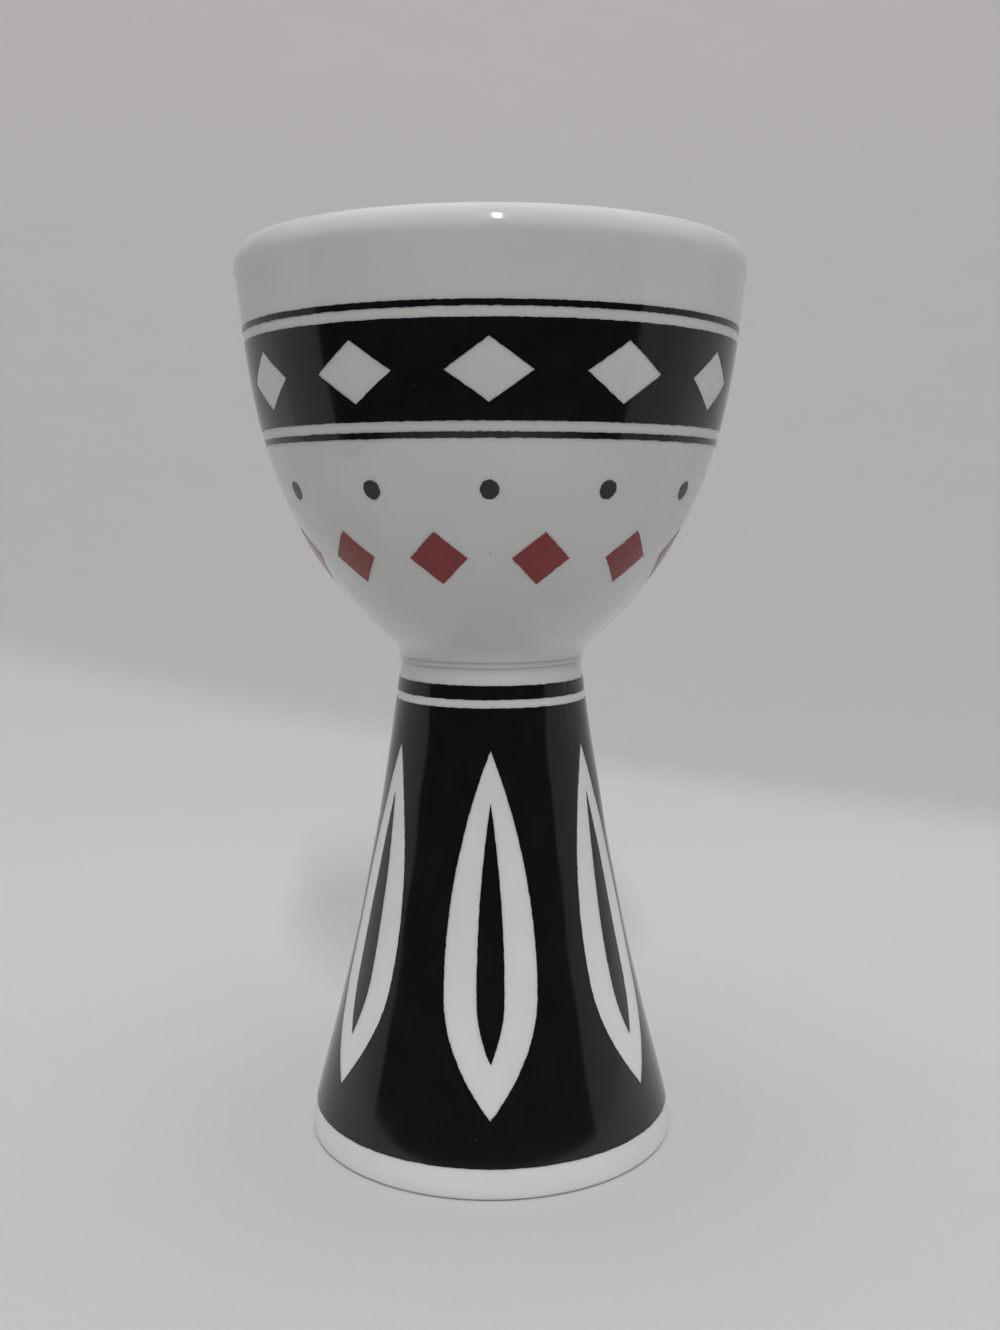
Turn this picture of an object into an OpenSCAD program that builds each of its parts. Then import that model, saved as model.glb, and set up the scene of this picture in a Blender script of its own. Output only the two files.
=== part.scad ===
// Footed egg cup: a deep round bowl on a narrow neck and a tall flared foot.
// Lengths are millimetres. Z is the axis of the cup, the cup stands on Z = 0,
// and the front of the decoration faces -Y.

/* [Whole cup] */
// Height of the whole cup
total_h = 100; // [92:1:112]

/* [Bowl] */
// Outside diameter of the mouth, where the lip begins
rim_d = 56.3; // [52:0.5:60]
// Lean of the wall away from upright at the mouth, in degrees
rim_lean = 8; // [5:0.5:12]
// Thickness of the bowl's wall
bowl_wall = 3.2; // [2.6:0.1:4]
// Height of the rounded lip
lip_h = 2.8; // [1.4:0.1:3.6]
// Thickness of the bowl's floor above the joint
bowl_floor = 4; // [3:0.1:6]
// Lean of the bowl away from upright where it leaves the neck, in degrees
bowl_base_lean = 48; // [40:1:54]

/* [Neck] */
// Diameter of the narrowest place
neck_d = 20.7; // [18:0.1:23]
// Height of the narrowest place
neck_z = 54.3; // [50:0.1:58]
// Radius of the hollow curve between neck and bowl
neck_fillet_r = 3.6; // [3:0.1:5]
// Lean of the foot away from upright where it meets the neck, in degrees
neck_lean = 7.4; // [5:0.2:10]
// Height of the joint above the narrowest place
joint_rise = 0.4; // [0.2:0.1:0.8]
// Thickness of the slip in the joint
joint_h = 0.6; // [0.4:0.1:1]
// Reach of the smoothed slip inside the joint, inwards and down the foot's wall
joint_cove = 0.8; // [0.5:0.1:1.2]

/* [Foot] */
// Diameter of the foot
foot_d = 42; // [38:0.2:46]
// Thickness of the foot's wall, measured level
foot_wall = 3; // [2.4:0.1:3.8]
// Rounding of the two edges of the standing ring
foot_edge_r = 0.4; // [0.2:0.1:0.8]

/* [Print on the bowl] */
// Thickness of the printed ink
ink_t = 0.1; // [0.06:0.01:0.2]
// Distance from the top of the cup to the top of the black band
band_drop = 10.4; // [9:0.1:13]
// Height of the black band
band_h = 9.4; // [8:0.1:11]
// Number of white lozenges left open in the band
band_count = 12; // [8:1:14]
// Width of a white lozenge
lozenge_w = 8.6; // [6:0.1:10]
// Height of a white lozenge
lozenge_h = 6; // [4:0.1:7]
// Height of the hairlines above and below the band
line_h = 0.6; // [0.4:0.1:1]
// White gap between the band and each hairline
line_gap = 1; // [0.6:0.1:1.6]
// Diameter of a dot
dot_d = 1.9; // [1.2:0.1:2.4]
// Number of red lozenges, which is the number of dots too
red_count = 12; // [8:1:14]
// Width of a red lozenge
red_w = 6; // [4:0.1:7]
// Height of a red lozenge
red_h = 5.4; // [4:0.1:6]

/* [Print on the foot] */
// Height of the plain white band at the bottom of the foot
hem_h = 3.3; // [2.4:0.1:5]
// Distance from the narrowest place of the neck down to the top of the collar
collar_drop = 1.4; // [0.8:0.1:3]
// Height of the black collar
collar_h = 1.5; // [1:0.1:2.5]
// White gap between the collar and the black ground
collar_gap = 0.9; // [0.5:0.1:1.6]
// Number of white flutes left open in the black ground
flute_count = 6; // [4:1:7]
// Width of a white flute
flute_w = 10; // [6:0.1:11]
// Black left below the lower tips of the flutes
flute_low_gap = 4.7; // [2:0.1:8]
// Black left above the upper tips of the flutes
flute_high_gap = 4.5; // [2:0.1:8]
// Width of the black leaf inside a flute
leaf_w = 3; // [1.6:0.1:4]
// White gap between the tips of a leaf and of its flute
leaf_gap = 5.5; // [3:0.1:7]

/* [Hidden] */

$fn = 96;

// Steps in each curve of the outline
bowl_steps = 30;
lip_steps = 8;
fillet_steps = 7;
foot_steps = 28;
edge_steps = 4;
cove_steps = 5;
petal_steps = 12;

// How far each end of a curve keeps to its own direction, as a share of the curve's span
bowl_low_share = 0.45;
bowl_high_share = 0.28;
foot_low_share = 0.08;
foot_high_share = 0.66;
// The same for the inside of the bowl: its floor by the mouth's radius, its wall by the depth
inside_floor_share = 0.88;
inside_wall_share = 0.3;
// The same for a quarter circle, as a share of its radius
quarter_share = 0.5523;

// Middle of each row of motifs, as a share of the way from the neck up to the lower hairline
dot_row_share = 0.8;
red_row_share = 0.52;
// Widest place of a flute, as a share of its height
flute_wide_share = 0.32;

rim_r = rim_d / 2;
neck_r = neck_d / 2;
foot_r = foot_d / 2;
lip_z = total_h - lip_h;
lip_r = rim_r - bowl_wall / 2;
joint_z = neck_z + joint_rise;
joint_top = joint_z + joint_h;
floor_z = joint_top + bowl_floor;
// Length of the tools that cut the motifs, from the axis out past the surface
reach = rim_d;

// Heights of the printed pieces
band_top = total_h - band_drop;
band_z = band_top - band_h;
line_z = band_z - line_gap - line_h;
dot_z = neck_z + dot_row_share * (line_z - neck_z);
red_z = neck_z + red_row_share * (line_z - neck_z);
collar_top = neck_z - collar_drop;
collar_z = collar_top - collar_h;
ground_top = collar_z - collar_gap;
flute_z = hem_h + flute_low_gap;
flute_h = ground_top - flute_high_gap - flute_z;
flute_low_h = flute_wide_share * flute_h;
flute_high_h = flute_h - flute_low_h;

// Direction that leans outwards from straight up by an angle
function lean(angle) = [sin(angle), cos(angle)];

// Point of a smooth curve from a to d, which leaves towards b and arrives from c
function curve_point(a, b, c, d, t) =
    pow(1 - t, 3) * a + 3 * t * pow(1 - t, 2) * b + 3 * t * t * (1 - t) * c + pow(t, 3) * d;

function curve(a, b, c, d, steps) =
    [for (i = [0 : steps]) curve_point(a, b, c, d, i / steps)];

// Smooth curve between two points with a given direction and pull at each end
function sweep(from, from_dir, from_share, to, to_dir, to_share, steps) =
    let (span = norm(to - from))
    curve(from, from + from_share * span * from_dir, to - to_share * span * to_dir, to, steps);

function without_first(list) = [for (i = [1 : len(list) - 1]) list[i]];
function reversed(list) = [for (i = [len(list) - 1 : -1 : 0]) list[i]];
function shifted(list, step) = [for (p = list) [p.x + step, p.y]];

// Hollow curve at the neck, from the foot's lean to the bowl's lean
function fillet_point(angle) =
    [neck_r + neck_fillet_r * (1 - cos(angle)), neck_z + neck_fillet_r * sin(angle)];

fillet = [for (i = [0 : fillet_steps])
    fillet_point(-neck_lean + (bowl_base_lean + neck_lean) * i / fillet_steps)];

foot_side = sweep(
    [foot_r, foot_edge_r], lean(0), foot_low_share,
    fillet[0], lean(-neck_lean), foot_high_share, foot_steps);

bowl_side = sweep(
    fillet[fillet_steps], lean(bowl_base_lean), bowl_low_share,
    [rim_r, lip_z], lean(rim_lean), bowl_high_share, bowl_steps);

// Outside of the cup, from the edge of the foot up to the start of the lip
outside = concat(foot_side, without_first(fillet), without_first(bowl_side));
outside_by_height = [for (p = outside) [p.y, p.x]];

function outside_r(z) = lookup(z, outside_by_height);

// The stretch of the outside between two heights
function stretch(low, high) = concat(
    [[outside_r(low), low]],
    [for (p = outside) if (p.y > low && p.y < high) p],
    [[outside_r(high), high]]);

// One side of the lip, from the start of the rounding up to its top
function lip_side(r) =
    let (
        start = [r, lip_z],
        top = [lip_r, total_h],
        rise = quarter_share * lip_h * [tan(rim_lean), 1],
        run = quarter_share * [r - lip_r, 0])
    curve(start, start + rise, top + run, top, lip_steps);

bowl_inside = let (
        bottom = [0, floor_z],
        mouth = [rim_r - bowl_wall, lip_z],
        floor_pull = inside_floor_share * mouth.x,
        wall_pull = inside_wall_share * (mouth.y - bottom.y))
    curve(bottom, bottom + [floor_pull, 0], mouth - wall_pull * lean(rim_lean), mouth, bowl_steps);

// Section of the bowl, with its short stub of neck
bowl_section = concat(
    [[0, joint_top]],
    stretch(joint_top, lip_z),
    without_first(lip_side(rim_r)),
    without_first(reversed(lip_side(rim_r - bowl_wall))),
    without_first(reversed(bowl_inside)));

// Rounded edge of the standing ring, on the side that turn points to
function ring_edge(r, turn) = [for (i = [0 : edge_steps])
    let (angle = 90 * i / edge_steps)
    [r - turn * foot_edge_r * (1 - sin(angle)), foot_edge_r * (1 - cos(angle))]];

foot_outside = stretch(foot_edge_r, joint_z);

// Section of the foot's wall
foot_section = concat(
    ring_edge(foot_r, 1),
    without_first(foot_outside),
    reversed(shifted(without_first(foot_outside), -foot_wall)),
    reversed(ring_edge(foot_r - foot_wall, -1)));

// Section of the ring of slip, whose inside is smoothed to a cove against the foot's wall
cove_z = joint_z - joint_cove;
cove_r = outside_r(cove_z) - foot_wall - joint_cove;
joint_section = concat(
    stretch(joint_z, joint_top),
    [for (i = [0 : cove_steps])
        let (angle = 90 * i / cove_steps)
        [cove_r + joint_cove * sin(angle), cove_z + (joint_cove + joint_h) * cos(angle)]],
    without_first(shifted(stretch(cove_z, joint_z), -foot_wall)));

// Section of a printed piece that covers the outside between two heights
function print_section(low, high) =
    let (face = stretch(low, high))
    concat(face, reversed(shifted(face, ink_t)));

// Half of a petal's outline: a parabola that is widest at height zero
function petal_side(side_w, low_h, high_h) = [for (i = [-petal_steps : petal_steps])
    let (share = i / petal_steps)
    [side_w * (1 - share * share), share * (share < 0 ? low_h : high_h)]];

module turned(section) {
    rotate_extrude() polygon(section);
}

module printed(low, high) {
    turned(print_section(low, high));
}

// Copies a motif round the axis, the first one turned by a share of the step
module around(count, turn_share) {
    for (i = [0 : count - 1]) {
        rotate([0, 0, (i + turn_share) * 360 / count]) children();
    }
}

// Pushes a flat motif from the axis out through the front, centred on a height
module pushed(z) {
    translate([0, 0, z]) rotate([90, 0, 0]) linear_extrude(reach) children();
}

// Prints a flat motif on the front, on the stretch of outside from below to above its height
module stamped(z, below, above) {
    intersection() {
        printed(z - below, z + above);
        pushed(z) children();
    }
}

module lozenge(w, h) {
    polygon([[w / 2, 0], [0, h / 2], [-w / 2, 0], [0, -h / 2]]);
}

module petal(w, low_h, high_h) {
    polygon(concat(
        petal_side(w / 2, low_h, high_h),
        without_first(reversed(without_first(petal_side(-w / 2, low_h, high_h))))));
}

module bowl() {
    color("whitesmoke") turned(bowl_section);
}

module neck_joint() {
    color("gainsboro") turned(joint_section);
}

module foot() {
    color("whitesmoke") turned(foot_section);
}

module bowl_band() {
    color("black") difference() {
        printed(band_z, band_top);
        around(band_count, 0) pushed(band_z + band_h / 2) lozenge(lozenge_w, lozenge_h);
    }
}

module bowl_lines() {
    color("black") {
        printed(band_top + line_gap, band_top + line_gap + line_h);
        printed(line_z, line_z + line_h);
    }
}

module bowl_dots() {
    color("black") around(red_count, 0)
        stamped(dot_z, dot_d, dot_d) circle(d = dot_d);
}

module bowl_lozenges() {
    color("firebrick") around(red_count, 1 / 2)
        stamped(red_z, red_h, red_h) lozenge(red_w, red_h);
}

module foot_ground() {
    color("black") difference() {
        printed(hem_h, ground_top);
        around(flute_count, 0) pushed(flute_z + flute_low_h)
            petal(flute_w, flute_low_h, flute_high_h);
    }
}

module foot_collar() {
    color("black") printed(collar_z, collar_top);
}

module foot_leaves() {
    color("black") around(flute_count, 0)
        stamped(flute_z + flute_low_h, flute_low_h, flute_high_h)
            petal(leaf_w, flute_low_h - leaf_gap, flute_high_h - leaf_gap);
}

bowl();
neck_joint();
foot();
bowl_band();
bowl_lines();
bowl_dots();
bowl_lozenges();
foot_ground();
foot_collar();
foot_leaves();
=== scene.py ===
# Footed egg cup in white glazed porcelain, with black and red printed decoration.
# Lengths are metres in the frame's axes: Z is the cup's axis, the cup stands on Z = 0,
# and the front of the decoration faces -Y. Angles run from the front towards +X.
import math

import bmesh
import bpy
import numpy as np
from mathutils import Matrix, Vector, noise


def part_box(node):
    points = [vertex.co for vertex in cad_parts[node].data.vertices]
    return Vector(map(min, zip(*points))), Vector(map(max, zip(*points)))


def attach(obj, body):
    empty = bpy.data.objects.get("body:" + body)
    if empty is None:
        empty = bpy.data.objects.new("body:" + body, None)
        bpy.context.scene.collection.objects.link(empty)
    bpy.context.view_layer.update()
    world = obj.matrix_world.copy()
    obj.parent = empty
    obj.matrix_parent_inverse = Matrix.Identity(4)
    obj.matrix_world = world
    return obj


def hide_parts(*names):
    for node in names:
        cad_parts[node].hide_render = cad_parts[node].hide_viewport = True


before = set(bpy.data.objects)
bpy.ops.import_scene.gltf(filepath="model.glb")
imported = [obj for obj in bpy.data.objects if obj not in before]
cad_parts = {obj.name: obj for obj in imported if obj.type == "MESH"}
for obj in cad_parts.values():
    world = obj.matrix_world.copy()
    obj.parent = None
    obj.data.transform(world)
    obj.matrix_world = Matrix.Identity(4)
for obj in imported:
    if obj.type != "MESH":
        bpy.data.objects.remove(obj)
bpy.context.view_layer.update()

BODY = "root"
MM = 0.001

# Shape of the cup, as the CAD model has it, with leans in degrees from upright, and shares that
# say how far the ends of its curves pull
RIM_R = 28.15 * MM
RIM_LEAN = 8
BOWL_WALL = 3.2 * MM
LIP_H = 2.8 * MM
BOWL_FLOOR = 4 * MM
BOWL_BASE_LEAN = 48
NECK_R = 10.35 * MM
NECK_Z = 54.3 * MM
NECK_FILLET_R = 3.6 * MM
NECK_LEAN = 7.4
JOINT_COVE = 0.8 * MM
FOOT_R = 21 * MM
FOOT_WALL = 3 * MM
FOOT_EDGE_R = 0.4 * MM
BOWL_SHARES = (0.45, 0.28)
FOOT_SHARES = (0.08, 0.66)
INSIDE_FLOOR_SHARE = 0.88
INSIDE_WALL_SHARE = 0.3
QUARTER_SHARE = 0.5523

# Motifs of the print, as the CAD model has them
BAND_COUNT = 12
LOZENGE_W = 8.6 * MM
LOZENGE_H = 6 * MM
LINE_H = 0.6 * MM
RED_COUNT = 12
RED_W = 6 * MM
FLUTE_COUNT = 6
FLUTE_W = 10 * MM
FLUTE_LOW_GAP = 4.7 * MM
FLUTE_HIGH_GAP = 4.5 * MM
FLUTE_WIDE_SHARE = 0.32
LEAF_W = 3 * MM
LEAF_GAP = 5.5 * MM

# Thickness of the ink, which is thinner here than the CAD model's
INK_T = 0.04 * MM
# Height of the ridge that the sponged joint leaves round the neck, its mean share of that height
# and the waves by which it comes and goes, given as turns round the neck, a share and a start
RIDGE_H = 0.014 * MM
RIDGE_SHARE = 0.5
RIDGE_WAVES = ((5, 0.3, 0.6), (13, 0.2, 0))
# How far the fired wall strays from true, by waves given as turns round the cup,
# turns per metre up it and a start in radians
WAVER = 0.018 * MM
WAVES = ((2, 22, 0.3), (3, -48, 1.7), (5, 61, 2.9), (8, -83, 4.1))
# How far the edge of the print strays from its line, over what length, and the seed of its noise,
# without which it would stray otherwise in each run
FRAY = 0.07 * MM
FRAY_SPAN = 0.4 * MM
FRAY_SEED = 1
# How far up the rounded edge of the standing ring the porcelain is bare, as a share of the edge
BARE_SHARE = 0.6

# Fineness of the meshes
TURNS = 256
CURVE_STEPS = 72
EDGE_STEPS = 8
LIP_STEPS = 16
FILLET_POINTS = 32
ROWS_PER_MM = 4
BAND_TURNS = 720
GROUND_COLUMNS = 40
RED_COLUMNS = 8
LEAF_COLUMNS = 6
DOT_RINGS = 4
DOT_TURNS = 40
SHARP_ANGLE = math.radians(38)
# Digits of an angle and of a height to which two points of a print are the same
ANGLE_DIGITS = 6
Z_DIGITS = 8


def heights(node):
    """Lowest and highest Z of a CAD node."""
    low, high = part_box(node)
    return low.z, high.z


JOINT_TOP, TOTAL_H = heights("bowl")
JOINT_Z = heights("foot")[1]
LIP_Z = TOTAL_H - LIP_H
LIP_R = RIM_R - BOWL_WALL / 2


def lean(degrees):
    """Direction, as radius and height, that leans outwards from upright."""
    angle = math.radians(degrees)
    return np.array([math.sin(angle), math.cos(angle)])


def curve(a, b, c, d, steps=CURVE_STEPS):
    """Smooth curve from a to d, which leaves towards b and arrives from c."""
    a, b, c, d = (np.array(p, float) for p in (a, b, c, d))
    t = np.linspace(0, 1, steps + 1)[:, None]
    return (1 - t) ** 3 * a + 3 * t * (1 - t) ** 2 * b + 3 * t * t * (1 - t) * c + t ** 3 * d


def sweep(start, start_lean, end, end_lean, shares):
    """Smooth curve between two points with a given lean and pull at each end."""
    start, end = np.array(start, float), np.array(end, float)
    span = np.linalg.norm(end - start)
    leave = start + shares[0] * span * lean(start_lean)
    arrive = end - shares[1] * span * lean(end_lean)
    return curve(start, leave, arrive, end)


def fillet_curve():
    """Hollow curve at the neck, from the foot's lean to the bowl's."""
    angles = np.radians(np.linspace(-NECK_LEAN, BOWL_BASE_LEAN, FILLET_POINTS))
    r = NECK_R + NECK_FILLET_R * (1 - np.cos(angles))
    z = NECK_Z + NECK_FILLET_R * np.sin(angles)
    return np.stack([r, z], axis=1)


def outside_curve():
    """Outside of the cup, from the edge of the foot up to the start of the lip."""
    fillet = fillet_curve()
    foot = sweep((FOOT_R, FOOT_EDGE_R), 0, fillet[0], -NECK_LEAN, FOOT_SHARES)
    bowl = sweep(fillet[-1], BOWL_BASE_LEAN, (RIM_R, LIP_Z), RIM_LEAN, BOWL_SHARES)
    return np.vstack([foot, fillet[1:], bowl[1:]])


OUTSIDE = outside_curve()


def outside_r(z):
    """Outside radius of the cup at a height."""
    return np.interp(z, OUTSIDE[:, 1], OUTSIDE[:, 0])


def stretch(low, high):
    """The stretch of the outside between two heights."""
    inner = OUTSIDE[(OUTSIDE[:, 1] > low) & (OUTSIDE[:, 1] < high)]
    return np.vstack([[outside_r(low), low], inner, [outside_r(high), high]])


def lip_side(r):
    """One side of the lip, from the start of its rounding up to its top."""
    start, top = np.array([r, LIP_Z]), np.array([LIP_R, TOTAL_H])
    rise = QUARTER_SHARE * LIP_H * np.array([math.tan(math.radians(RIM_LEAN)), 1])
    run = QUARTER_SHARE * np.array([r - LIP_R, 0])
    return curve(start, start + rise, top + run, top, LIP_STEPS)


def inside_curve():
    """Inside of the bowl, from the middle of its floor up to the lip."""
    bottom = np.array([0, JOINT_TOP + BOWL_FLOOR])
    mouth = np.array([RIM_R - BOWL_WALL, LIP_Z])
    floor_pull = np.array([INSIDE_FLOOR_SHARE * mouth[0], 0])
    wall_pull = INSIDE_WALL_SHARE * (mouth[1] - bottom[1]) * lean(RIM_LEAN)
    return curve(bottom, bottom + floor_pull, mouth - wall_pull, mouth)


def bowl_section():
    """Closed section of the bowl, from the axis under its floor round to the axis above it."""
    return np.vstack([
        [[0, JOINT_TOP]],
        stretch(JOINT_TOP, LIP_Z),
        lip_side(RIM_R)[1:],
        lip_side(RIM_R - BOWL_WALL)[::-1][1:],
        inside_curve()[::-1][1:],
    ])


def ring_edge(r, turn):
    """Rounded edge of the standing ring, on the side that turn points to."""
    angles = np.linspace(0, math.pi / 2, EDGE_STEPS + 1)
    edge_r = r - turn * FOOT_EDGE_R * (1 - np.sin(angles))
    return np.stack([edge_r, FOOT_EDGE_R * (1 - np.cos(angles))], axis=1)


def foot_section():
    """Closed section of the foot's wall."""
    wall = stretch(FOOT_EDGE_R, JOINT_Z)[1:]
    return np.vstack([
        ring_edge(FOOT_R, 1),
        wall,
        (wall - [FOOT_WALL, 0])[::-1],
        ring_edge(FOOT_R - FOOT_WALL, -1)[::-1],
    ])


def joint_section():
    """Closed section of the ring of slip, with its cove inside."""
    z = np.linspace(JOINT_Z, JOINT_TOP, EDGE_STEPS + 1)
    cove_z = JOINT_Z - JOINT_COVE
    cove_r = outside_r(cove_z) - FOOT_WALL - JOINT_COVE
    angles = np.linspace(0, math.pi / 2, EDGE_STEPS + 1)
    cove = np.stack([
        cove_r + JOINT_COVE * np.sin(angles),
        cove_z + (JOINT_TOP - cove_z) * np.cos(angles),
    ], axis=1)
    seat = stretch(cove_z, JOINT_Z)[1:] - [FOOT_WALL, 0]
    return np.vstack([np.stack([outside_r(z), z], axis=1), cove, seat])


def linked(name, data):
    """New object of that name, linked to the scene."""
    made = bpy.data.objects.new(name, data)
    bpy.context.scene.collection.objects.link(made)
    return made


def finished(name, mesh):
    """Links a mesh as an object of that name, smooth except at its sharp edges."""
    bm = bmesh.new()
    bm.from_mesh(mesh)
    bmesh.ops.recalc_face_normals(bm, faces=bm.faces)
    for face in bm.faces:
        face.smooth = True
    for edge in bm.edges:
        edge.smooth = edge.calc_face_angle(0) < SHARP_ANGLE
    bm.to_mesh(mesh)
    bm.free()
    return linked(name, mesh)


def made_mesh(name, points, faces):
    """Mesh of that name from its points and faces."""
    mesh = bpy.data.meshes.new(name)
    mesh.from_pydata([tuple(p) for p in points], [], faces)
    mesh.update()
    return mesh


def made_strip(name, points):
    """Mesh of a strip, from its points in pairs."""
    faces = [[i, i + 1, i + 3, i + 2] for i in range(0, len(points) - 2, 2)]
    return made_mesh(name, points, faces)


def waver(angle, z):
    """How far the wall strays from its true radius there, none at the foot's edge and at the lip."""
    waves = sum(math.sin(turns * angle + 2 * math.pi * rise * z + start)
                for turns, rise, start in WAVES)
    return WAVER * waves * math.sin(math.pi * z / TOTAL_H)


def around(angle, r, z):
    """Point at an angle from the front."""
    return (r * math.sin(angle), -r * math.cos(angle), z)


def wrapped(angle, r, z):
    """Point at an angle from the front, on a wall that strays a little from true."""
    return around(angle, r + waver(angle, z) * min(1, r / NECK_R), z)


def ridge(angle, r, z):
    """Height of the joint's ridge, which comes and goes round the outside of the neck."""
    if r < NECK_R:
        return 0
    rise = math.sin(math.pi * (z - JOINT_Z) / (JOINT_TOP - JOINT_Z)) ** 2
    waves = sum(share * math.sin(turns * angle + start) for turns, share, start in RIDGE_WAVES)
    return RIDGE_H * rise * (RIDGE_SHARE + waves)


def lathe(name, section, relief=lambda angle, r, z: 0):
    """Solid turned from a closed section, whose points on the axis become poles."""
    points, rings, faces = [], [], []
    for r, z in section:
        count = TURNS if r > 0 else 1
        rings.append([len(points) + i for i in range(count)])
        angles = [2 * math.pi * i / count for i in range(count)]
        points += [wrapped(a, r + relief(a, r, z), z) for a in angles]
    for low, high in zip(rings, rings[1:] + rings[:1]):
        for i in range(TURNS):
            corners = [low[i % len(low)], low[(i + 1) % len(low)]]
            corners += [high[(i + 1) % len(high)], high[i % len(high)]]
            corners = list(dict.fromkeys(corners))
            if len(corners) > 2:
                faces.append(corners)
    return finished(name, made_mesh(name, points, faces))


class Print:
    """A flat pattern in angle and height, which is wrapped round the cup as a thin sheet of ink."""

    def __init__(self):
        self.indices = {}
        self.places = []
        self.faces = []

    def point(self, angle, z):
        """Index of a point, shared by all the faces that meet there."""
        full_turn = round(2 * math.pi, ANGLE_DIGITS)
        key = (round(angle % (2 * math.pi), ANGLE_DIGITS) % full_turn, round(z, Z_DIGITS))
        if key not in self.indices:
            self.indices[key] = len(self.places)
            self.places.append((angle, z))
        return self.indices[key]

    def grid(self, rows):
        """Faces between rows of points that all have the same count."""
        for low, high in zip(rows, rows[1:]):
            for i in range(len(low) - 1):
                corners = [low[i], low[i + 1], high[i + 1], high[i]]
                corners = list(dict.fromkeys(self.point(*c) for c in corners))
                if len(corners) > 2:
                    self.faces.append(corners)

    def between(self, z_rows, left, right, columns):
        """Faces between two edges, each given as an angle at a height."""
        self.grid([
            [(angle, z) for angle in np.linspace(left(z), right(z), columns + 1)]
            for z in z_rows
        ])

    def ring(self, low, high):
        """A band all the way round."""
        self.between(z_steps(low, high), lambda z: 0, lambda z: 2 * math.pi, BAND_TURNS)

    def edges(self):
        """The edges of the pattern, as pairs of points that only one face has in that order."""
        sides = {pair for face in self.faces for pair in zip(face, face[1:] + face[:1])}
        return [(a, b) for a, b in sides if (b, a) not in sides]

    def fray(self):
        """Moves the edges a little, as ink edges are never quite true, and what lies inside with them."""
        noise.seed_set(FRAY_SEED)
        for i, (angle, z) in enumerate(self.places):
            r = float(outside_r(z))
            shift = noise.noise_vector(Vector(wrapped(angle, r, z)) / FRAY_SPAN) * FRAY
            self.places[i] = (angle + shift.x / r, z + shift.z)

    def solid(self, name):
        """The pattern as a closed sheet of ink on the outside of the cup."""
        self.fray()
        count = len(self.places)
        points = [wrapped(a, outside_r(z) + INK_T, z) for a, z in self.places]
        points += [wrapped(a, outside_r(z), z) for a, z in self.places]
        faces = self.faces + [[i + count for i in reversed(f)] for f in self.faces]
        faces += [[b, a, a + count, b + count] for a, b in sorted(self.edges())]
        return finished(name, made_mesh(name, points, faces))


def z_steps(*stops):
    """Heights that pass through all the stops, in rows of even height between them."""
    steps = [stops[0]]
    for low, high in zip(stops, stops[1:]):
        count = max(1, math.ceil((high - low) / MM * ROWS_PER_MM))
        steps += list(np.linspace(low, high, count + 1)[1:])
    return steps


def half_angle(half_width, z):
    """Angle that half a flat motif covers once it is on the cup."""
    return math.asin(half_width / outside_r(z))


def lozenge_half(z, middle, width, height):
    """Half the width of a lozenge at a height."""
    return width / 2 * max(0, 1 - abs(z - middle) / (height / 2))


def petal_half(z, wide_z, width, low_z, high_z):
    """Half the width of a petal at a height, a parabola that is widest at wide_z."""
    share = (z - wide_z) / ((high_z if z > wide_z else low_z) - wide_z)
    return width / 2 * max(0, 1 - share * share)


def print_with_gaps(name, z_rows, count, columns, half):
    """A band all the way round, with evenly spaced motifs left open in it."""
    sheet, step = Print(), 2 * math.pi / count
    for k in range(count):
        sheet.between(
            z_rows,
            lambda z, k=k: k * step + half_angle(half(z), z),
            lambda z, k=k: (k + 1) * step - half_angle(half(z), z),
            columns)
    return sheet.solid(name)


def print_of_motifs(name, z_rows, count, turn, columns, half):
    """Evenly spaced motifs, the first one turned by a share of the step."""
    sheet, step = Print(), 2 * math.pi / count
    for k in range(count):
        sheet.between(
            z_rows,
            lambda z, k=k: (k + turn) * step - half_angle(half(z), z),
            lambda z, k=k: (k + turn) * step + half_angle(half(z), z),
            columns)
    return sheet.solid(name)


def make_band():
    """Black band round the bowl, with lozenges left open in it."""
    low, high = heights("bowl_band")
    middle = (low + high) / 2
    rows = z_steps(low, middle - LOZENGE_H / 2, middle, middle + LOZENGE_H / 2, high)
    return print_with_gaps(
        "band_print", rows, BAND_COUNT, BAND_TURNS // BAND_COUNT,
        lambda z: lozenge_half(z, middle, LOZENGE_W, LOZENGE_H))


def make_lines():
    """Two black hairlines, above and below the band."""
    low, high = heights("bowl_lines")
    sheet = Print()
    sheet.ring(low, low + LINE_H)
    sheet.ring(high - LINE_H, high)
    return sheet.solid("line_print")


def make_dots():
    """Ring of black dots, one under each open lozenge."""
    low, high = heights("bowl_dots")
    middle, radius, step = (low + high) / 2, (high - low) / 2, 2 * math.pi / RED_COUNT
    sheet = Print()
    rings = np.linspace(0, radius, DOT_RINGS + 1)
    turns = np.linspace(0, 2 * math.pi, DOT_TURNS + 1)
    for k in range(RED_COUNT):
        sheet.grid([
            [
                (k * step + half_angle(-r * math.sin(turn), middle), middle + r * math.cos(turn))
                for turn in turns
            ]
            for r in rings[::-1]
        ])
    return sheet.solid("dot_print")


def make_red_lozenges():
    """Ring of red lozenges, half a step round from the dots."""
    low, high = heights("bowl_lozenges")
    middle = (low + high) / 2
    return print_of_motifs(
        "red_print", z_steps(low, middle, high), RED_COUNT, 1 / 2, RED_COLUMNS,
        lambda z: lozenge_half(z, middle, RED_W, high - low))


def make_ground():
    """Black ground of the foot, with flutes left open in it."""
    low, high = heights("foot_ground")
    tip, top = low + FLUTE_LOW_GAP, high - FLUTE_HIGH_GAP
    wide = tip + FLUTE_WIDE_SHARE * (top - tip)
    return print_with_gaps(
        "ground_print", z_steps(low, tip, wide, top, high), FLUTE_COUNT, GROUND_COLUMNS,
        lambda z: petal_half(z, wide, FLUTE_W, tip, top))


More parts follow.
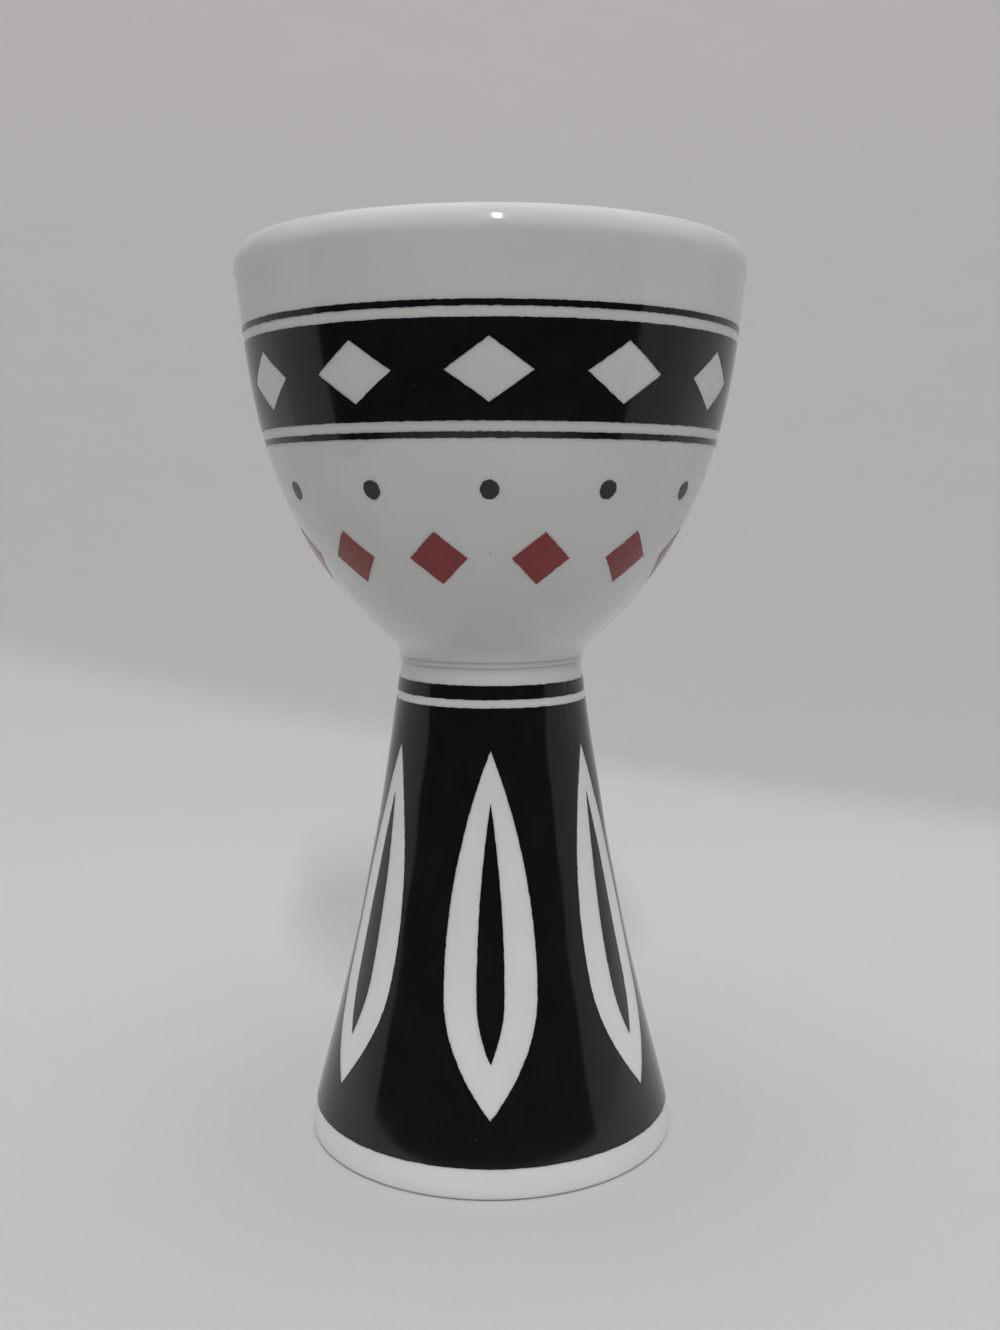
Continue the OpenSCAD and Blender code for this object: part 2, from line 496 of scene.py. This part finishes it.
def make_collar():
    """Black line round the top of the foot."""
    sheet = Print()
    sheet.ring(*heights("foot_collar"))
    return sheet.solid("collar_print")


def make_leaves():
    """Slender black leaf in each flute, widest at the same share of the height as the flute."""
    low, high = heights("foot_leaves")
    tip, top = low - LEAF_GAP, high + LEAF_GAP
    wide = tip + FLUTE_WIDE_SHARE * (top - tip)
    return print_of_motifs(
        "leaf_print", z_steps(low, wide, high), FLUTE_COUNT, 0, LEAF_COLUMNS,
        lambda z: petal_half(z, wide, LEAF_W, low, high))


def add(tree, kind, inputs=None, **settings):
    """Adds a node with its settings, and links or sets its inputs."""
    made = tree.nodes.new(kind)
    for key, value in settings.items():
        setattr(made, key, value)
    for key, value in (inputs or {}).items():
        if isinstance(value, bpy.types.NodeSocket):
            tree.links.new(value, made.inputs[key])
        else:
            made.inputs[key].default_value = value
    return made


def new_material(name):
    """New material with its tree, its shader, and the place on the object."""
    made = bpy.data.materials.new(name)
    made.use_nodes = True
    tree = made.node_tree
    tree.nodes.clear()
    shader = add(tree, "ShaderNodeBsdfPrincipled")
    output = add(tree, "ShaderNodeOutputMaterial")
    tree.links.new(shader.outputs["BSDF"], output.inputs["Surface"])
    place = add(tree, "ShaderNodeTexCoord").outputs["Object"]
    return made, tree, shader, place


def cloud(tree, place, size, detail=2, roughness=0.5):
    """Cloudy value whose features are about that size."""
    made = add(
        tree, "ShaderNodeTexNoise",
        {"Vector": place, "Scale": 1 / size, "Detail": detail, "Roughness": roughness})
    return made.outputs["Fac"]


def ramp(tree, value, low, high, low_color, high_color):
    """Colour that runs from one to the other as a value runs from low to high."""
    made = add(tree, "ShaderNodeValToRGB", {"Fac": value})
    for element, at, color in zip(made.color_ramp.elements, (low, high), (low_color, high_color)):
        element.position = at
        element.color = (*color, 1)
    return made.outputs["Color"]


def spread(tree, value, low, high, to_low, to_high):
    """Value moved from one range to another, and kept inside it."""
    made = add(tree, "ShaderNodeMapRange", {
        "Value": value, "From Min": low, "From Max": high, "To Min": to_low, "To Max": to_high})
    return made.outputs["Result"]


def mixed(tree, share, first, second, way="MIX"):
    """Colour between two, by a share."""
    inputs = {"Fac": share, "Color1": first, "Color2": second}
    return add(tree, "ShaderNodeMixRGB", inputs, blend_type=way).outputs["Color"]


def specks(tree, place, spacing, radius):
    """Mask of rare small round specks, with soft edges."""
    cells = add(tree, "ShaderNodeTexVoronoi", {"Vector": place, "Scale": 1 / spacing})
    share = radius / spacing
    return spread(tree, cells.outputs["Distance"], share, SPECK_EDGE * share, 1, 0)


def bumped(tree, layers):
    """Normal with layers of relief, each given as a height value and its depth."""
    normal = None
    for value, depth in layers:
        made = add(tree, "ShaderNodeBump", {"Height": value, "Strength": 1.0, "Distance": depth})
        if normal is not None:
            tree.links.new(normal, made.inputs["Normal"])
        normal = made.outputs["Normal"]
    return normal


def glaze_relief(tree, place):
    """The slow waver and the fine skin of a fired glaze, the same over body and print."""
    return [(cloud(tree, place, span, detail=1), depth) for span, depth in GLAZE_RELIEF]


def glaze_roughness(tree, place, low, high):
    """Gloss that changes a little from place to place, with fine wear."""
    wear = cloud(tree, place, GLAZE_WEAR_SPAN, detail=4, roughness=0.6)
    return spread(tree, wear, *CLOUD_RANGE, low, high)


# Whites of the foot, painted paler as painted light, of the bowl, and of the lip's top, painted darker as
# painted shade
FOOT_WHITE_PAINTED_PALER = (0.845, 0.86, 0.855)
BOWL_WHITE = (0.80, 0.80, 0.785)
LIP_WHITE_PAINTED_DARKER = (0.72, 0.72, 0.715)
# How much darker the white is in its clouds
CLOUD_SHADE = (0.96, 0.96, 0.95)
# Specks in the white and dust in the ink, then the bare ring and where it is worn
SPECK = (0.28, 0.25, 0.22)
DUST = (0.10, 0.10, 0.10)
BARE = (0.68, 0.66, 0.62)
BARE_WORN = (0.45, 0.43, 0.40)
BLACK = (0.007, 0.007, 0.0085)
BLACK_THIN = (0.011, 0.011, 0.012)
RED = (0.25, 0.020, 0.018)
RED_THIN = (0.30, 0.031, 0.027)

# The values between which a cloud mostly stays
CLOUD_RANGE = (0.3, 0.7)
# Relief of the glaze, its waver and then its skin, each as a span and a depth
GLAZE_RELIEF = ((11 * MM, 0.05 * MM), (0.9 * MM, 0.0008 * MM))
GLAZE_WEAR_SPAN = 6 * MM
GLAZE_IOR = 1.52
PORCELAIN_ROUGHNESS = (0.06, 0.13)
INK_ROUGHNESS = (0.08, 0.15)
BARE_ROUGHNESS = (0.55, 0.75)
# How far above and below the neck the foot's painted-paler white runs into the bowl's white
WHITE_CHANGE = 8 * MM
# Span of the clouds in the white and in the ink, and of the wear on the bare ring, each with
# the values between which the colour changes
WHITE_SPAN = 14 * MM
WHITE_STOPS = (0.35, 0.7)
INK_SPAN = 2.5 * MM
INK_STOPS = (0.45, 0.8)
BARE_SPAN = 1.5 * MM
BARE_STOPS = (0.45, 0.75)
# Span and depth of the grain on the bare ring
BARE_GRAIN = 0.12 * MM
BARE_GRAIN_DEPTH = 0.01 * MM
# Spacing and radius of the specks, and where their edge ends as a multiple of the radius
PORCELAIN_SPECKS = (5 * MM, 0.07 * MM)
INK_SPECKS = (3 * MM, 0.05 * MM)
SPECK_EDGE = 1.5
# Light that enters the porcelain: how much of it, and how far in red, green and blue, as
# multiples of a scale
DEPTH_WEIGHT = 0.8
DEPTH_RADIUS = (1.1, 1.0, 0.9)
DEPTH_SCALE = 0.8 * MM


def porcelain():
    """White porcelain under clear glaze, with painted light on the foot and painted shade on the lip."""
    made, tree, shader, place = new_material("porcelain")
    height = add(tree, "ShaderNodeSeparateXYZ", {"Vector": place}).outputs["Z"]
    # Painted light: the foot's white is paler and cooler than the bowl's, for the light the upturned foot
    # catches
    up_bowl = spread(tree, height, NECK_Z - WHITE_CHANGE, NECK_Z + WHITE_CHANGE, 0, 1)
    body = mixed(tree, up_bowl, (*FOOT_WHITE_PAINTED_PALER, 1), (*BOWL_WHITE, 1))
    # Painted shade: the top of the lip is darker, against the light that falls on it from above
    body = mixed(tree, spread(tree, height, LIP_Z, TOTAL_H, 0, 1), body, (*LIP_WHITE_PAINTED_DARKER, 1))
    clouds = cloud(tree, place, WHITE_SPAN, detail=3)
    shade = ramp(tree, clouds, *WHITE_STOPS, (1, 1, 1), CLOUD_SHADE)
    body = mixed(tree, 1.0, body, shade, "MULTIPLY")
    speck = specks(tree, place, *PORCELAIN_SPECKS)
    tree.links.new(mixed(tree, speck, body, (*SPECK, 1)), shader.inputs["Base Color"])
    tree.links.new(glaze_roughness(tree, place, *PORCELAIN_ROUGHNESS), shader.inputs["Roughness"])
    tree.links.new(bumped(tree, glaze_relief(tree, place)), shader.inputs["Normal"])
    shader.inputs["IOR"].default_value = GLAZE_IOR
    shader.inputs["Subsurface Weight"].default_value = DEPTH_WEIGHT
    shader.inputs["Subsurface Radius"].default_value = DEPTH_RADIUS
    shader.inputs["Subsurface Scale"].default_value = DEPTH_SCALE
    return made


def bare_porcelain():
    """The dry, slightly rough ring that the cup stands on."""
    made, tree, shader, place = new_material("bare_porcelain")
    wear = cloud(tree, place, BARE_SPAN, detail=6, roughness=0.7)
    color = ramp(tree, wear, *BARE_STOPS, BARE, BARE_WORN)
    tree.links.new(color, shader.inputs["Base Color"])
    tree.links.new(spread(tree, wear, *CLOUD_RANGE, *BARE_ROUGHNESS), shader.inputs["Roughness"])
    grain = cloud(tree, place, BARE_GRAIN, detail=3)
    tree.links.new(bumped(tree, [(grain, BARE_GRAIN_DEPTH)]), shader.inputs["Normal"])
    return made


def ink(name, thick, thin):
    """Glossy fired enamel, a little thinner in places."""
    made, tree, shader, place = new_material(name)
    clouds = cloud(tree, place, INK_SPAN, detail=5, roughness=0.65)
    color = ramp(tree, clouds, *INK_STOPS, thick, thin)
    speck = specks(tree, place, *INK_SPECKS)
    tree.links.new(mixed(tree, speck, color, (*DUST, 1)), shader.inputs["Base Color"])
    tree.links.new(glaze_roughness(tree, place, *INK_ROUGHNESS), shader.inputs["Roughness"])
    tree.links.new(bumped(tree, glaze_relief(tree, place)), shader.inputs["Normal"])
    shader.inputs["IOR"].default_value = GLAZE_IOR
    return made


def dress(piece, nodes, materials):
    """Gives a piece its materials, puts it under the body and hides the CAD nodes that it stands for."""
    for made in materials:
        piece.data.materials.append(made)
    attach(piece, BODY)
    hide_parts(*nodes)
    return piece


def bare_below(piece, z):
    """Gives the second material to the faces that lie wholly below a height."""
    for face in piece.data.polygons:
        if max(piece.data.vertices[i].co.z for i in face.vertices) < z:
            face.material_index = 1


def make_cup():
    """The three porcelain pieces and the seven prints on them."""
    white, bare = porcelain(), bare_porcelain()
    dress(lathe("bowl_body", bowl_section()), ["bowl"], [white])
    dress(lathe("joint_ring", joint_section(), ridge), ["neck_joint"], [white])
    foot = dress(lathe("foot_body", foot_section()), ["foot"], [white, bare])
    bare_below(foot, BARE_SHARE * FOOT_EDGE_R)
    black = ink("black_print", BLACK, BLACK_THIN)
    red = ink("red_print", RED, RED_THIN)
    dress(make_band(), ["bowl_band"], [black])
    dress(make_lines(), ["bowl_lines"], [black])
    dress(make_dots(), ["bowl_dots"], [black])
    dress(make_red_lozenges(), ["bowl_lozenges"], [red])
    dress(make_ground(), ["foot_ground"], [black])
    dress(make_collar(), ["foot_collar"], [black])
    dress(make_leaves(), ["foot_leaves"], [black])


# Camera, worked out from the outline of the cup in the photograph, with its tilt in degrees
# and its lens in millimetres
CAMERA_PLACE = (1.01 * MM, -158.66 * MM, 72.37 * MM)
CAMERA_DOWN = 6.617
CAMERA_LENS = 37.62
CAMERA_NEAR = 10 * MM

# The sheet behind and under the cup
SHEET_HALF_W = 2.5
SHEET_FRONT = -2.5
SHEET_BEND_Y = 0.16
SHEET_BEND_R = 0.9
SHEET_BEND_POINTS = 25
SHEET_TOP = 1.6
CLOTH = (0.595, 0.595, 0.597)
# Painted shade: the cloth turns greyer over this span past a slanted line, and is greyest low on the wall
PAINTED_SHADE_SPAN = (0.21, 0.25)
PAINTED_SHADE_SLANT = 0.65
WALL_LOW_PAINTED_SHADE = (0.50, 0.495, 0.485)
WALL_HIGH = (0.82, 0.795, 0.78)
WALL_HIGH_Z = 0.45
CLOTH_ROUGHNESS = 0.9
CLOTH_SPECULAR = 0.15
# Relief of the cloth, its folds and then its weave, each as a span and a depth
CLOTH_RELIEF = ((60 * MM, 2.5 * MM), (0.5 * MM, 0.05 * MM))

# Cards that stand round the front like the dark and pale sides of a room, each with its span
# in degrees from the front towards +X, and its colour
CARDS = {
    "dark_card": (-76, 64.5, (0.03, 0.03, 0.03)),
    "left_card": (-104, -76, (0.80, 0.79, 0.78)),
    "right_card": (64.5, 98, (0.78, 0.77, 0.75)),
}
CARD_STEPS = 40
CARD_R = 0.18
CARD_H = 0.14
# Shorter rays than the first length pass the cards and longer ones than the second meet them,
# so that they draw no line on the floor where they stand
CARD_REACH = (0.08, 0.14)

# The lamp above the front, which the lip mirrors, and the even light from all round
LAMP_PLACE = (0.05, -0.78, 0.83)
LAMP_W = 0.03
LAMP_H = 0.35
LAMP_POWER = 4.1
SKY_LOW = (0.02, 0.02, 0.02)
SKY_TOP = (2.15, 2.15, 2.17)
SKY_FOCUS = 4
SKY_SEEN = (0.55, 0.545, 0.54)


def cloth():
    """Pale cloth with a fine weave, painted greyer behind a soft slanted line as painted shade, and paler
    again up the wall.
    """
    made, tree, shader, place = new_material("cloth")
    axes = add(tree, "ShaderNodeSeparateXYZ", {"Vector": place}).outputs
    slant = add(tree, "ShaderNodeMath", {0: axes["X"], 1: PAINTED_SHADE_SLANT}, operation="MULTIPLY")
    slant = slant.outputs[0]
    along = add(tree, "ShaderNodeMath", {0: axes["Y"], 1: slant}, operation="ADD").outputs[0]
    # Painted shade behind the slanted line and low on the wall, running paler up the wall
    wall = ramp(tree, spread(tree, axes["Z"], 0, WALL_HIGH_Z, 0, 1), 0, 1, WALL_LOW_PAINTED_SHADE, WALL_HIGH)
    tone = mixed(tree, spread(tree, along, *PAINTED_SHADE_SPAN, 0, 1), (*CLOTH, 1), wall)
    tree.links.new(tone, shader.inputs["Base Color"])
    shader.inputs["Roughness"].default_value = CLOTH_ROUGHNESS
    shader.inputs["Specular IOR Level"].default_value = CLOTH_SPECULAR
    layers = [(cloud(tree, place, span), depth) for span, depth in CLOTH_RELIEF]
    tree.links.new(bumped(tree, layers), shader.inputs["Normal"])
    return made


def make_sheet():
    """Floor that sweeps up into a backdrop."""
    angles = np.linspace(0, math.pi / 2, SHEET_BEND_POINTS)
    bend = [
        (SHEET_BEND_Y + SHEET_BEND_R * math.sin(a), SHEET_BEND_R * (1 - math.cos(a)))
        for a in angles
    ]
    line = [(SHEET_FRONT, 0), *bend, (bend[-1][0], SHEET_TOP)]
    mesh = made_strip("sheet", [(side * SHEET_HALF_W, y, z) for y, z in line for side in (-1, 1)])
    mesh.shade_smooth()
    mesh.materials.append(cloth())
    linked("sheet", mesh)


def make_lamp():
    """Soft upright lamp above the front."""
    data = bpy.data.lights.new("lamp", "AREA")
    data.shape = "RECTANGLE"
    data.size = LAMP_W
    data.size_y = LAMP_H
    data.energy = LAMP_POWER
    lamp = linked("lamp", data)
    lamp.location = LAMP_PLACE
    aim = Vector((0, 0, TOTAL_H / 2)) - lamp.location
    lamp.rotation_euler = aim.to_track_quat("-Z", "Y").to_euler()


def make_world():
    """Soft light from all round, stronger from above."""
    world = bpy.data.worlds.new("studio")
    world.use_nodes = True
    tree = world.node_tree
    way = add(tree, "ShaderNodeTexCoord").outputs["Generated"]
    height = add(tree, "ShaderNodeSeparateXYZ", {"Vector": way}).outputs["Z"]
    rise = spread(tree, height, 0, 1, 0, 1)
    share = add(tree, "ShaderNodeMath", {0: rise, 1: SKY_FOCUS}, operation="POWER").outputs[0]
    tone = mixed(tree, share, (*SKY_LOW, 1), (*SKY_TOP, 1))
    rays = add(tree, "ShaderNodeLightPath").outputs
    seen = rays["Is Camera Ray"]
    for kind in ("Is Glossy Ray", "Is Transmission Ray"):
        seen = add(tree, "ShaderNodeMath", {0: seen, 1: rays[kind]}, operation="MAXIMUM").outputs[0]
    tone = mixed(tree, seen, tone, (*SKY_SEEN, 1))
    tree.links.new(tone, tree.nodes["Background"].inputs["Color"])
    bpy.context.scene.world = world


def make_card(name, start, end, color):
    """Upright curved card, which only reflections and soft light see, and which casts no shadow."""
    steps = np.radians(np.linspace(start, end, CARD_STEPS))
    mesh = made_strip(name, [around(a, CARD_R, z) for a in steps for z in (0, CARD_H)])
    card = linked(name, mesh)
    made, tree, shader, _ = new_material(name)
    shader.inputs["Base Color"].default_value = (*color, 1)
    shader.inputs["Roughness"].default_value = 1.0
    length = add(tree, "ShaderNodeLightPath").outputs["Ray Length"]
    tree.links.new(spread(tree, length, *CARD_REACH, 0, 1), shader.inputs["Alpha"])
    mesh.materials.append(made)
    card.visible_camera = card.visible_shadow = False


def make_camera():
    """Camera at the photograph's place and angle."""
    data = bpy.data.cameras.new("camera")
    data.lens = CAMERA_LENS
    data.clip_start = CAMERA_NEAR
    camera = linked("camera", data)
    camera.location = CAMERA_PLACE
    camera.rotation_euler = (math.radians(90 - CAMERA_DOWN), 0, 0)
    bpy.context.scene.camera = camera


def make_studio():
    """Everything round the cup but the camera."""
    make_world()
    make_sheet()
    for name, (start, end, color) in CARDS.items():
        make_card(name, start, end, color)
    make_lamp()


make_cup()
make_studio()
make_camera()
bpy.context.scene.view_settings.view_transform = "Standard"
